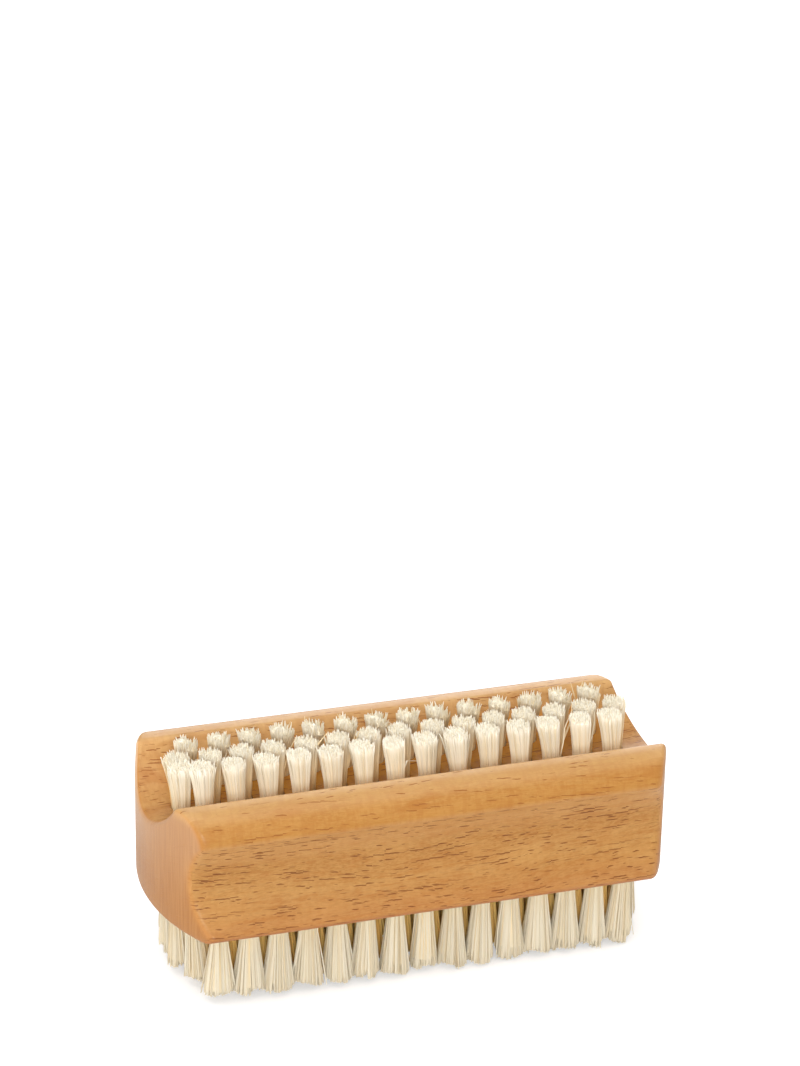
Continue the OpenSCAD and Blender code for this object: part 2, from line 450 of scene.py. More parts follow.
def tuft_tips(rng, spot, tip_r, style):
    """A tuft's bristles about the axis of its bore.

    Gives the x and y of their roots and tips, the half of the folded tuft that each belongs to, how far it
    is drawn in to its clump, and how much it is cut short.
    """
    count, clumps = style["count"], style["clumps"]
    root = sunflower(count, ROOT_R, rng)
    reach = np.linalg.norm(root, axis=1) / ROOT_R
    half = np.where(root[:, 1] > 0, 1.0, -1.0)
    left = left_share(spot)
    tip = root / ROOT_R * tip_r * rng.uniform(*WIDTH_DRAW) * left_growth(spot, style)
    root = root * style["root"]
    centres = sunflower(clumps, tip_r * CLUMP_DISC, rng)
    nearest = np.argmin(np.linalg.norm(tip[:, None] - centres[None], axis=2), axis=1)
    pull = style["pull"] * rng.uniform(*PULL_DRAW, clumps)[nearest]
    draw_in = (centres[nearest] - tip) * pull[:, None]
    clump_cut = (rng.uniform(0, 1, clumps) ** 1.5)[nearest] * style["clump_cut"]
    side_cut = style["slant"] * np.clip(0.5 + 0.5 * tip[:, 0] / tip_r, 0, 1)
    cut = clump_cut + side_cut + np.abs(rng.normal(0, style["ragged"], count)) + style["dome"] * reach**2
    tall = rng.random(count) < style["tall"]
    cut[tall] *= rng.uniform(*TALL_DRAW, tall.sum())
    cut += style["left_worn"] * left
    tip[:, 1] += half * style["split"] * rng.uniform(*SPLIT_DRAW)
    tip += rng.normal(0, style["scatter"], tip.shape)
    tip += np.array(style["lean"]) + rng.normal(0, style["tuft_lean"], 2)
    tip[:, 0] += style["left_lean"] * left**4 - style["right_lean"] * (spot[0] > END_X)
    stray = rng.random(count) < style["stray"]
    out = root / np.maximum(np.linalg.norm(root, axis=1), 0.2)[:, None]
    tip[stray] += out[stray] * rng.uniform(STRAY_LEAST, style["stray_out"], (stray.sum(), 1))
    cut[stray] += rng.uniform(0, style["stray_cut"], stray.sum())
    return root, tip, half, draw_in, cut


def tuft_lines(rng, spot, way, length, tip_r, style):
    """Centre lines of a tuft's bristles, as an array (bristle, ring, xyz), and how far each has run."""
    root, tip, half, draw_in, cut = tuft_tips(rng, spot, tip_r, style)
    count, rings = style["count"], np.array(style["rings"])
    height = np.clip(length - cut, SHORTEST, length)
    bend = style["flare"] * rng.uniform(*FLARE_DRAW, count)[:, None]
    above = rings[None, :] * (height[:, None] + ROOT_DEPTH) - ROOT_DEPTH
    run = np.clip(above, 0, None) / length
    spread, gather = run**bend, run**3
    frayed = np.where(rings == 1.0, 1.0, 0.0) * style["fray"]
    line = np.zeros((count, len(rings), 3))
    narrow = np.clip(-above / ROOT_DEPTH, 0, 1)
    for axis in (0, 1):
        line[:, :, axis] = root[:, axis, None] + (tip[:, axis] - root[:, axis])[:, None] * spread
        line[:, :, axis] += draw_in[:, axis, None] * gather + rng.normal(0, 1, (count, 1)) * frayed
    line[:, :, 1] += (half * WIRE_GAP)[:, None] * narrow
    line[:, :, 2] = above * way
    return line + np.array(spot), run


def heart_faces(rings):
    """Faces of a closed stack of rings, each of HEART_SIDES points."""
    faces = []
    for j in range(rings - 1):
        a, b = j * HEART_SIDES, (j + 1) * HEART_SIDES
        for k in range(HEART_SIDES):
            n = (k + 1) % HEART_SIDES
            faces.append((a + k, a + n, b + n, b + k))
    last = (rings - 1) * HEART_SIDES
    return faces + [tuple(range(last, last + HEART_SIDES)), tuple(reversed(range(HEART_SIDES)))]


def tuft_heart(rng, line, spot, way, length, tip_r, style):
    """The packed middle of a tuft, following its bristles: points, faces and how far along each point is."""
    tip_r = tip_r * left_growth(spot, style)
    shares = np.array(HEART_RINGS) * style["heart"]
    axis = line[:, -1, :2].mean(0) - np.array(spot[:2])
    turns = np.linspace(0, 2 * math.pi, HEART_SIDES, endpoint=False)
    flute = rng.uniform(*HEART_FLUTE, HEART_SIDES)
    points = []
    for share in shares:
        spread = max(share, 0) ** style["flare"]
        radius = (ROOT_R * style["root"] + (tip_r - ROOT_R) * spread) * flute
        ring = polar(radius, turns) + axis * spread
        points.append(np.column_stack([ring, np.full(HEART_SIDES, way * share * length)]))
    falling = style["slant"] * (0.5 + 0.5 * np.cos(turns))
    points[-1][:, 2] -= way * falling
    rim = points[-1][:, :2]
    middle = rim.mean(0)
    for shrink in HEART_TOP:
        lift = shares[-1] * length + style["heart_dome"] * (1 - shrink**2) - falling * shrink
        lift = lift + rng.uniform(-HEART_ROUGH, HEART_ROUGH, HEART_SIDES)
        points.append(np.column_stack([(rim - middle) * shrink + middle, way * lift]))
    faces = heart_faces(len(points))
    if way < 0:
        faces = [face[::-1] for face in faces]
    points = np.vstack(points)
    along = np.clip(points[:, 2] * way / length, 0, 1)
    return points + np.array(spot), faces, along


def depth_inside(points):
    """How far each point stands inside the field of lower tufts: 0 at its outer side, 1 well within."""
    x, y = points[:, 0], points[:, 1]
    from_side = BLOCK_W / 2 - BOTTOM_SIDE_MARGIN + BORE_R - np.abs(y)
    drop = BOTTOM_CURVE_R - np.sqrt(BOTTOM_CURVE_R**2 - np.minimum(np.abs(y), BOTTOM_CURVE_R - 1) ** 2)
    from_end = BLOCK_L / 2 - BOTTOM_END_MARGIN - drop + BORE_R - np.abs(x)
    return np.clip((np.minimum(from_side, from_end) - BORE_R) / DEEP_INSIDE, 0, 1)


def loose_line(spot, way, path, steps):
    """A single bristle from its bore through the points of a path, as evenly spaced points."""
    whole = np.array([(spot[0], spot[1], spot[2] - LOOSE_ROOT * way), *path])
    run = np.concatenate([[0], np.cumsum(np.linalg.norm(np.diff(whole, axis=0), axis=1))])
    at = np.linspace(0, run[-1], steps)
    return np.stack([np.interp(at, run, whole[:, k]) for k in range(3)], 1)


def bristle_tubes(rng, line, run, tip_r, style):
    """Thin tubes round centre lines, as an array (bristle, ring, corner, xyz)."""
    count = len(line)
    ahead = np.diff(line, axis=1)
    way_on = np.concatenate([ahead[:, :1], ahead], 1)
    way_on /= np.linalg.norm(way_on, axis=2, keepdims=True)
    no_bristle_runs_so = np.array([0.31, 0.94, 0.1])
    side = np.cross(way_on, no_bristle_runs_so)
    side /= np.linalg.norm(side, axis=2, keepdims=True)
    other = np.cross(way_on, side)
    taper = np.interp(style["rings"], [0, SHOULDER_AT, 1], [1, style["shoulder"], style["point"]])
    swell = 1 + BRISTLE_GROWTH * (tip_r / ROOT_R - 1) * run
    thick = BRISTLE_R * style["thick"] * rng.uniform(*THICK_DRAW, (count, 1)) * swell * taper
    twist = rng.uniform(0, 2 * math.pi, (count, 1))
    corners = []
    for k in range(BRISTLE_SIDES):
        turn = twist + k * 2 * math.pi / BRISTLE_SIDES
        offset = side * np.cos(turn)[..., None] + other * np.sin(turn)[..., None]
        corners.append(line + offset * thick[..., None])
    return np.stack(corners, 2)


def tube_faces(first, steps):
    """Faces of tubes with three sides, given the number of each tube's first point: sides, tips, roots."""
    faces = []
    for j in range(steps - 1):
        low, high = first + 3 * j, first + 3 * (j + 1)
        for k in range(3):
            n = (k + 1) % 3
            faces.append(np.concatenate([low + k, low + n, high + n, high + k], 1))
    end = first + 3 * (steps - 1)
    tips = np.concatenate([end, end + 1, end + 2], 1)
    roots = np.concatenate([first + 2, first + 1, first], 1)
    return faces + [tips, roots]


def bristle_row(name, spots, way, tips_z, tip_r, style, seed, loose=()):
    """One object with every bristle of a row of tufts, the longest ending at a height of tips_z."""
    rng = np.random.default_rng(seed)
    points, faces, hearts, tone, along, shade = [], [], [], [], [], []
    base = 0
    for number, spot in enumerate(spots):
        rise = abs(tips_z - spot[2])
        line, run = tuft_lines(rng, spot, way, rise, tip_r, style)
        heart, sides, share = tuft_heart(rng, line, spot, way, rise, tip_r, style)
        steps = line.shape[1]
        for path in (p for at, p in loose if at == number):
            line = np.concatenate([line, loose_line(spot, way, path, steps)[None]])
            run = np.concatenate([run, np.full((1, steps), LOOSE_RUN)])
        tubes = bristle_tubes(rng, line, run, tip_r, style).reshape(-1, 3)
        count, ring_points = len(line), steps * BRISTLE_SIDES
        points += [tubes, heart]
        faces += tube_faces(base + (np.arange(count) * ring_points)[:, None], steps)
        base += len(tubes)
        hearts += [tuple(base + v for v in face) for face in sides]
        base += len(heart)
        tone.append(np.repeat(rng.random(count), ring_points))
        tone.append(np.tile(rng.random(HEART_SIDES), len(heart) // HEART_SIDES))
        along += [np.repeat(run, BRISTLE_SIDES, axis=1).ravel(), share]
        shade += [np.full(len(tubes), style["inner"]), np.full(len(heart), style["heart_inner"])]
    flat = [tuple(f) for block in faces for f in block.tolist()] + hearts
    points = np.vstack(points)
    made = mesh_object(name, points, flat, smooth=False)
    # Painted warm shade: a golden tone standing in for light scattered among the bristles far inside the
    # brush, set by row, stronger towards the roots, and for the lower tufts by how far inside the field they
    # stand
    warm_shade_share = np.concatenate(shade) * np.clip((WARM_SHADE_TOP - np.concatenate(along)) / WARM_SHADE_FADE, 0, 1)
    if way < 0:
        warm_shade_share = np.maximum(warm_shade_share, depth_inside(points))
    for label, values in (("tone", tone), ("along", along), ("warm_shade_share", [warm_shade_share])):
        attribute = made.data.attributes.new(label, "FLOAT", "POINT")
        attribute.data.foreach_set("value", np.concatenate(values).astype(np.float32))
    return made


# Looks of the tufts

TOP_STYLE = {
    "rings": (0.0, 0.36, 0.58, 0.78, 0.93, 1.0),  # shares of a bristle's length that carry points
    "count": 280,  # bristles in a tuft
    "thick": 1.0,  # times BRISTLE_R
    "shoulder": 1.0,  # share of that thickness where the tip begins
    "point": 0.3,  # and at its end
    "root": 0.96,  # share of the bore's width that the roots fill
    "flare": 1.7,  # how late a tuft spreads: 1 is a straight cone
    "lean": (0.0, 0.0),  # x and y from a tuft's bore to its tips
    "tuft_lean": 0.15,  # how much that differs between tufts
    "left_wide": 0.0,  # share that the left end's tufts spread more
    "left_lean": 0.0,  # how far they lean to the right
    "left_worn": 0.0,  # how much shorter they are
    "right_lean": 0.0,  # how far the last tuft leans to the left
    "clumps": 7,  # in which the tips draw together
    "pull": 0.25,  # share of the way to a clump's middle
    "split": 0.1,  # how far each half of a tuft moves out
    "scatter": 0.1,  # random offset of each tip
    "fray": 0.1,  # random bend of the last stretch
    "clump_cut": 0.5,  # most that a clump is cut short
    "slant": 0.0,  # most that a tuft's right side is cut short
    "ragged": 0.32,  # how unevenly single bristles are cut
    "dome": 0.25,  # how much shorter the outer ones are
    "tall": 0.12,  # share of them that is hardly cut
    "stray": 0.04,  # share that stands out
    "stray_out": 0.8,  # by how much at most
    "stray_cut": 0.5,  # and how much shorter at most
    "inner": 0.05,  # share of the painted warm shade on the bristles
    "heart": 0.88,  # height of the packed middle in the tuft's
    "heart_dome": 0.4,  # rise of its top
    "heart_inner": 0.3,  # share of the painted warm shade on it
}
TOP_ROWS = {
    "front": dict(lean=(-0.25, 1.5), ragged=0.15, clump_cut=0.2, dome=0.1, tall=0.08),
    "middle": dict(lean=(-0.3, 0.2), ragged=0.45, dome=0.0, tall=0.2, inner=0.6, heart_inner=0.65),
    "back": dict(lean=(-0.35, -1.3), slant=1.3, ragged=0.4, dome=0.0, tall=0.2, inner=0.55, heart_inner=0.55),
    "odd": dict(lean=(-0.3, 0.8), inner=0.1),
}
# The lower tufts: what isn't named here is as above
BOTTOM_STYLE = TOP_STYLE | dict(rings=(0.0, 0.45, 0.93, 1.0), count=420, thick=0.95, shoulder=0.95)
BOTTOM_STYLE |= dict(point=0.55, root=0.85, flare=1.15, tuft_lean=0.2, left_lean=0.9, left_worn=0.8)
BOTTOM_STYLE |= dict(right_lean=1.0, clumps=9, pull=0.38, split=0.05, scatter=0.12, fray=0.04, clump_cut=1.4)
BOTTOM_STYLE |= dict(ragged=0.28, dome=0.3, tall=0.0, stray_cut=1.5, inner=0.0, heart=0.8, heart_dome=0.8)
# The front row's tufts spread at the left end instead of leaning in
BOTTOM_ROW_STYLES = {1: dict(left_wide=0.12, left_lean=0.0)}

# Single bristles that stand out of the tufts, by row: the tuft's number from 0, and the points passed
LOOSE = {
    "front": [
        (6, [(-0.6, -4.5, 36.8), (1.3, -4.5, 36.5)]),
        (7, [(0.6, -5.8, 40.9), (0.0, -5.8, 42.0)]),
        (11, [(28.1, -6.5, 35.8), (28.9, -5.0, 40.1), (29.7, -5.0, 41.6)]),
        (12, [(34.4, -5.2, 37.9), (34.8, -4.6, 40.3), (34.7, -4.6, 41.6)]),
    ],
    "middle": [
        (3, [(-20.9, -1.0, 40.8), (-19.7, -1.0, 42.5)]),
        (4, [(-15.8, -1.0, 40.5), (-14.0, -1.0, 42.6)]),
        (5, [(-9.9, -1.6, 38.8), (-9.6, -1.6, 40.1), (-9.0, -1.6, 42.5)]),
        (5, [(-8.7, -0.6, 40.3), (-7.9, -0.6, 42.4)]),
        (8, [(3.6, 0.0, 40.4), (3.2, 0.0, 42.0)]),
        (12, [(31.6, -1.5, 39.4), (31.4, -1.5, 42.1)]),
    ],
    "back": [
        (3, [(-19.6, 6.0, 40.8), (-18.8, 6.0, 41.9)]),
        (4, [(-16.2, 6.0, 41.2), (-16.2, 6.0, 42.6)]),
        (4, [(-14.0, 5.0, 40.6), (-13.6, 5.0, 41.8)]),
        (5, [(-9.4, 6.0, 41.0), (-10.1, 6.0, 42.2)]),
        (5, [(-8.7, 6.0, 40.8), (-9.7, 6.0, 42.2)]),
        (6, [(-3.5, 6.0, 41.6), (-3.8, 6.0, 42.4)]),
        (11, [(28.0, 6.0, 39.1), (27.4, 6.0, 40.1)]),
        (13, [(35.4, 6.5, 38.3), (34.2, 6.5, 42.3)]),
        (13, [(35.8, 6.0, 38.4), (36.3, 6.0, 42.4)]),
        (13, [(36.9, 6.0, 41.3), (36.3, 6.0, 42.4)]),
    ],
    "odd": [(0, [(-43.2, -1.5, 41.2), (-43.5, -1.5, 42.6)])],
}
BOTTOM_LOOSE = {
    1: [
        (14, [(37.9, -14.5, 12.0), (39.0, -14.5, 6.8), (39.6, -14.5, 4.6), (40.3, -14.5, 0.4)]),
        (10, [(13.9, -15.2, 10.0), (13.6, -15.5, 5.8), (13.5, -15.5, 0.6)]),
        (3, [(-20.4, -15.2, 10.0), (-19.8, -15.5, 6.2), (-19.6, -15.5, 2.4)]),
        (1, [(-33.2, -15.2, 11.0), (-33.5, -15.5, 8.5), (-34.5, -15.5, 1.7)]),
        (3, [(-22.9, -15.2, 11.0), (-23.4, -15.5, 8.4), (-24.0, -15.5, 5.3)]),
        (8, [(6.6, -15.2, 9.0), (7.9, -15.6, 1.2)]),
        (12, [(27.9, -15.2, 9.0), (29.2, -15.6, 1.0)]),
        (6, [(-6.8, -15.2, 9.0), (-8.2, -15.6, 1.4)]),
    ],
}


# Materials


def srgb(r, g, b):
    """A colour given in 0 to 255 as the eye sees it, as the linear values that Blender takes."""
    linear = (c / 255 / 12.92 if c <= 10 else ((c / 255 + 0.055) / 1.055) ** 2.4 for c in (r, g, b))
    return (*linear, 1.0)


def seen(**colours):
    """A table of colours in 0 to 255, as the values that Blender takes."""
    return {name: srgb(*rgb) for name, rgb in colours.items()}


class Nodes:
    """The nodes of a material or a world, from none."""

    def __init__(self, owner):
        owner.use_nodes = True
        self.tree = owner.node_tree
        self.tree.nodes.clear()

    def put(self, socket, value):
        """Links a socket to a value's output, or sets it to a constant."""
        if isinstance(value, bpy.types.NodeSocket):
            self.tree.links.new(value, socket)
        else:
            socket.default_value = value

    def add(self, kind, *values, **settings):
        """A new node with its settings, and with values in its first sockets."""
        node = self.tree.nodes.new("ShaderNode" + kind)
        for key, value in settings.items():
            setattr(node, key, value)
        for socket, value in zip(node.inputs, values):
            self.put(socket, value)
        return node


class Graph(Nodes):
    """A material's nodes, with short calls for the few kinds used here."""

    def __init__(self, name):
        self.material = bpy.data.materials.new(name)
        super().__init__(self.material)
        self.shader = self.add("BsdfPrincipled")
        self.add("OutputMaterial", self.shader.outputs[0])

    def math(self, operation, a, b=0.0):
        """One or two numbers through a Math node."""
        return self.add("Math", a, b, operation=operation).outputs[0]

    def chain(self, operation, first, *others):
        """Several numbers joined by one operation, from left to right."""
        for other in others:
            first = self.math(operation, first, other)
        return first

    plus = partialmethod(chain, "ADD")
    times = partialmethod(chain, "MULTIPLY")
    most = partialmethod(chain, "MAXIMUM")
    minus = partialmethod(math, "SUBTRACT")
    size = partialmethod(math, "ABSOLUTE")
    over = partialmethod(math, "GREATER_THAN")

    def centred(self, value, width):
        """A number of 0 to 1 carried to a width about 0."""
        return self.times(self.minus(value, 0.5), width)

    def between(self, share, a, b):
        """The number that lies a share of the way from a to b."""
        return self.plus(a, self.times(share, self.minus(b, a)))

    def remap(self, *values):
        """Carries a value's low..high smoothly to 0..1, or to two values more, and holds the ends."""
        return self.add("MapRange", *values, interpolation_type="SMOOTHSTEP").outputs[0]

    def mix(self, share, a, b):
        """The colour that lies a share of the way from a to b."""
        node = self.add("Mix", data_type="RGBA", blend_type="MIX")
        self.put(node.inputs["Factor"], share)
        self.put(node.inputs["A"], a)
        self.put(node.inputs["B"], b)
        return node.outputs["Result"]

    def noise(self, place, size, detail=2.0, roughness=0.5, distortion=0.0):
        """Noise of 0 to 1, with blobs of a size along x, y and z."""
        scaled = self.add("VectorMath", place, size, operation="DIVIDE")
        node = self.add("TexNoise", scaled.outputs[0])
        values = {"Scale": 1.0, "Detail": detail, "Roughness": roughness, "Distortion": distortion}
        for key, value in values.items():
            node.inputs[key].default_value = value
        return node.outputs["Fac"]

    def marks(self, run):
        """Random marks along a line: the distance to the nearest, its place, and its three random numbers."""
        node = self.add("TexVoronoi", feature="F1", voronoi_dimensions="1D")
        self.put(node.inputs["W"], run)
        self.put(node.inputs["Scale"], 1.0)
        return node.outputs["Distance"], node.outputs["W"], self.split(node.outputs["Color"])

    def millimetres(self):
        """The place on the piece in millimetres."""
        place = self.add("TexCoord").outputs["Object"]
        return self.add("VectorMath", place, (1 / MM, 1 / MM, 1 / MM), operation="MULTIPLY").outputs[0]

    def split(self, vector):
        """A vector's three numbers."""
        return tuple(self.add("SeparateXYZ", vector).outputs)

    def join(self, x, y, z):
        """Three numbers as a vector."""
        return self.add("CombineXYZ", x, y, z).outputs[0]

    def bump(self, height, distance):
        """Relief from a height of 0..1, whose full height is distance metres."""
        strength = 1.0
        node = self.add("Bump", strength, distance)
        self.put(node.inputs["Height"], height)
        self.put(self.shader.inputs["Normal"], node.outputs[0])


WOOD = seen(
    dark_ground=(172, 121, 59),
    light_ground=(184, 137, 77),
    rings=(176, 117, 52),
    fibres=(170, 111, 50),
    mottle=(202, 151, 84),
    figure=(168, 106, 46),
    patches=(202, 152, 86),
    foot=(178, 113, 62),
    # painted sheen: milky reflection in the shaded upper concave of the groove
    hollow=(200, 152, 98),
    bead=(178, 119, 40),
    # painted shade: golden tone of the channel's floor where the tufts shade it
    among_tufts=(198, 136, 46),
    # lighter tone of the channel's walls, also used as painted light at the channel's ends
    wall=(212, 166, 108),
    blotches=(172, 108, 40),
    shimmer=(166, 102, 42),
    fleck=(118, 64, 24),
    bead_fleck=(140, 78, 24),
    dark_end=(168, 110, 54),
    light_end=(181, 125, 66),
    # painted sheen on the end faces
    pale_end=(228, 190, 153),
    end_threads=(174, 118, 66),
    end_rim=(192, 126, 62),
    # painted shade on the underside and its rounding
    underside=(172, 102, 50),
    # painted highlight along the crests
    crest=(226, 184, 126),
)
UPPER_BRISTLE = seen(
    root=(237, 224, 193),
    body=(237, 229, 208),
    tip=(255, 250, 236),
    dark=(233, 215, 177),
    # painted warm shade of bristles far inside the brush
    inner=(248, 214, 148),
)
LOWER_BRISTLE = seen(
    root=(226, 214, 182),
    body=(227, 217, 193),
    tip=(226, 215, 190),
    dark=(213, 192, 152),
    # painted warm shade of bristles far inside the brush
    inner=(255, 212, 116),
)
WIRE = seen(dark=(168, 170, 172), light=(196, 198, 200))

# Layers of the beech's tone: size of the noise along the grain and across, its settings, the part of its
# range over which the layer sets in, and its share
TONES = {
    "rings": ((150, 0.9, 0.9), {"roughness": 0.6}, (0.5, 0.75), 0.5),
    "fibres": ((5, 0.22, 0.22), {"detail": 3.0, "roughness": 0.6}, (0.4, 0.7), 0.5),
    "mottle": ((0.9, 0.24, 0.24), {"roughness": 0.6}, (0.35, 0.65), 0.5),
    "figure": ((3.2, 0.75, 0.75), {"roughness": 0.6, "distortion": 0.4}, (0.45, 0.7), 0.45),
}

# Kinds of fleck, with a shift along X that keeps them apart
FLECKS = (
    dict(shift=0.0, gap=8.5, row=0.58, length=(0.7, 2.3), thick=0.11, least=0.38, step=2.8, strength=1.0),
    dict(shift=41.0, gap=30.0, row=1.15, length=(3.0, 9.0), thick=0.105, least=0.22, step=2.9, strength=0.95),
    dict(shift=17.0, gap=4.6, row=0.4, length=(0.35, 1.2), thick=0.09, least=0.55, step=3.0, strength=0.6),
)
FLECK_TURN = 25.0  # degrees from the block's own axes to the planes that hold the flecks
ROW_SHIFT, STEP_SHIFT, SIDE_SHIFT = 13.37, 5.13, 31.0  # keep rows, jumps and the two planes apart
FLECK_JUMP, FLECK_TILT = 0.26, 0.06


def flecks(g, x, across, fewer, shift, gap, row, length, thick, least, step, strength):
    """Dark ray flecks: dashes along X in rows, with half lengths between two values and one half thickness.

    Each row holds at most one dash in every gap, and least and fewer set how many of them stay away. About
    every step a dash jumps a little sideways, as ray flecks follow a grain that climbs.
    """
    x = g.plus(x, shift)
    place = g.math("DIVIDE", across, row)
    number = g.math("FLOOR", place)
    run = g.plus(g.math("DIVIDE", x, gap), g.times(number, ROW_SHIFT))
    far, _, (lot, size, lift) = g.marks(run)
    half = g.plus(g.times(size, size, (length[1] - length[0]) / gap), length[0] / gap)
    off = g.plus(g.minus(g.math("FRACT", place), 0.5), g.centred(lift, 0.5))
    piece = g.plus(g.math("DIVIDE", x, step), g.times(number, STEP_SHIFT))
    apart, middle, (jump, _, _) = g.marks(piece)
    off = g.plus(off, g.centred(jump, FLECK_JUMP / row))
    off = g.plus(off, g.times(g.minus(piece, middle), FLECK_TILT * step / row))
    dx = g.math("DIVIDE", far, half)
    dy = g.times(off, row / thick)
    away = g.math("SQRT", g.plus(g.times(dx, dx), g.times(dy, dy)))
    away = g.plus(away, g.remap(apart, 0.4, 0.55, 0.0, 0.6))
    return g.times(g.remap(away, 0.65, 1.15, 1.0, 0.0), g.over(lot, g.plus(fewer, least)), strength)


def block_places(g):
    """Where a point of the block lies: on the piece, in its zones, and in the wood's grain."""
    at = SimpleNamespace(place=g.millimetres())
    at.x, at.y, at.z = g.split(at.place)
    at.normal = g.split(g.add("TexCoord").outputs["Normal"])
    at.long, at.wide = g.size(at.x), g.size(at.y)
    # The channel and the beads' crests lie within the waist's width, and the groove's face outside it
    at.on_top = g.times(g.math("LESS_THAN", at.wide, WAIST_W / 2 - 0.1), g.over(at.z, FOOT_Z + 5))
    at.on_bead = g.most(g.over(at.z, BEAD_FOOT_Z), at.on_top)
    at.outer_bead = g.times(at.on_bead, g.remap(at.wide, 12.0, 14.5))
    # The grain climbs along X, bent below the beads and straight on them, and sways
    bent = g.plus(g.times(at.x, -0.015), g.times(at.x, at.x, -0.0007))
    at.climbed = g.plus(at.z, g.between(at.on_bead, bent, g.times(at.x, 0.045)))
    sway = g.centred(g.noise(at.place, (30, 12, 12), detail=1.0), 2.2)
    at.level = g.plus(at.climbed, sway)
    at.grain = g.join(at.x, g.plus(at.y, sway), at.level)
    return at


def wood_tone(g, at):
    """The beech's own colour, and the fibres, which its roughness and relief follow."""
    broad = g.noise(at.grain, (70, 7, 5), detail=3.0, roughness=0.55)
    colour = g.mix(g.remap(broad, 0.3, 0.7), WOOD["dark_ground"], WOOD["light_ground"])
    layers = {}
    for name, (size, settings, (low, high), share) in TONES.items():
        layers[name] = g.noise(at.grain, size, **settings)
        colour = g.mix(g.remap(layers[name], low, high, 0.0, share), colour, WOOD[name])
    patches = g.noise(at.place, (9, 4, 4))
    colour = g.mix(g.remap(patches, 0.45, 0.7, 0.0, 0.35), colour, WOOD["patches"])
    foot = g.remap(at.z, FOOT_Z + 1.0, FOOT_Z + 7.0, 0.35, 0.0)
    return g.mix(foot, colour, WOOD["foot"]), layers["fibres"]


def across_flecks(g, at):
    """The place across the rows of flecks, along the one of two slanting planes that the surface follows."""
    cos, sin = math.cos(math.radians(FLECK_TURN)), math.sin(math.radians(FLECK_TURN))
    _, ny, nz = at.normal
    level = g.plus(at.level, g.centred(g.noise(at.place, (1.1, 1.5, 1.5)), 0.34))
    steep = g.plus(g.times(at.y, sin), g.times(level, cos))
    flat = g.minus(g.times(level, sin), g.times(at.y, cos))
    faces_steep = g.plus(g.times(ny, sin), g.times(nz, cos))
    faces_flat = g.minus(g.times(nz, sin), g.times(ny, cos))
    on_side = g.over(g.size(faces_flat), g.size(faces_steep))
    return g.plus(g.between(on_side, flat, steep), g.times(on_side, SIDE_SHIFT))


def fleck_cover(g, at):
    """How strongly flecks of all kinds cover a point: fewer on the outer beads, fainter in some fields."""
    across = across_flecks(g, at)
    fewer = g.times(at.outer_bead, 0.36)
    kinds = [flecks(g, at.x, across, fewer, **kind) for kind in FLECKS]
    crowd = g.noise(at.grain, (22, 5, 5), detail=1.0)
    return g.times(g.most(*kinds), g.remap(crowd, 0.3, 0.45, 0.35, 1.0))


def zone_tints(g, at, colour):
    """Tints: a painted sheen in the groove's upper concave below the beads, the beads' own tone, painted warm
    shade on the channel's floor among the tufts, and lighter channel walls with painted light at the channel's
    ends.
    """
    near_bead = g.most(g.remap(at.z, BEAD_FOOT_Z - 0.5, BEAD_FOOT_Z + 0.9), at.on_top)
    # Painted sheen: the groove's upper concave, below the beads, goes paler and milkier as if it reflected the
    # floor
    hollow = g.times(g.remap(at.z, 26.5, 32.0), g.minus(1.0, near_bead))
    colour = g.mix(g.times(hollow, 0.6), colour, WOOD["hollow"])
    bead = g.remap(g.size(g.minus(at.z, BEAD_FOOT_Z)), 0.8, 3.5, 0.5, 0.25)
    colour = g.mix(g.times(bead, near_bead), colour, WOOD["bead"])
    # Painted warm shade on the channel's floor between the upper tufts, fading out past the last tufts
    among_tufts = g.times(g.remap(at.wide, 12.5, 9.5, 0.0, 0.85), g.remap(at.long, 43.0, 38.0))
    colour = g.mix(g.times(among_tufts, at.on_top), colour, WOOD["among_tufts"])
    wall = g.times(g.remap(at.wide, 9.0, 12.0, 0.0, 0.6), g.remap(at.wide, 16.8, 13.0))
    # Painted light: the channel's ends, where no tufts shade them, go lighter
    lit_channel_end = g.remap(at.long, 39.0, 43.0, 0.0, 0.45)
    return g.mix(g.times(at.on_top, g.most(wall, lit_channel_end)), colour, WOOD["wall"])


def stains(g, at, colour):
    """Oil blotches and a fine shimmer of darker wood, both stronger on the beads."""
    blotches = g.noise(g.join(at.x, at.y, at.climbed), (11, 5, 1.7), detail=3.0, distortion=0.6)
    share = g.times(g.remap(blotches, 0.48, 0.68, 0.0, 0.5), g.remap(at.on_bead, 0.0, 1.0, 0.4, 1.0))
    colour = g.mix(share, colour, WOOD["blotches"])
    shimmer = g.noise(at.place, (0.9, 2.6, 2.6), roughness=0.6)
    share = g.times(g.remap(shimmer, 0.42, 0.62, 0.0, 0.25), g.remap(at.on_bead, 0.0, 1.0, 0.5, 1.0))
    return g.mix(share, colour, WOOD["shimmer"])


def end_grain(g, at, colour):
    """The colour with end grain over it, and the share of end grain."""
    out = g.size(at.normal[0])
    streaks = g.noise(at.place, (9, 0.4, 9), detail=3.0, roughness=0.55)
    end = g.mix(g.remap(streaks, 0.3, 0.7), WOOD["dark_end"], WOOD["light_end"])
    # Painted sheen: the end face goes paler towards the back and the top, where light catches it
    pale = g.times(g.remap(at.y, -14.0, 16.0, 0.2, 0.7), g.remap(at.z, 18.5, 36.0, 0.1, 1.2))
    end = g.mix(pale, end, WOOD["pale_end"])
    threads = g.noise(at.place, (5, 0.16, 5))
    end = g.mix(g.remap(threads, 0.5, 0.8, 0.0, 0.3), end, WOOD["end_threads"])
    share = g.remap(out, 0.5, 0.8)
    colour = g.mix(g.times(g.remap(out, 0.2, 0.6), 0.4), colour, WOOD["end_rim"])
    return g.mix(share, colour, end), share


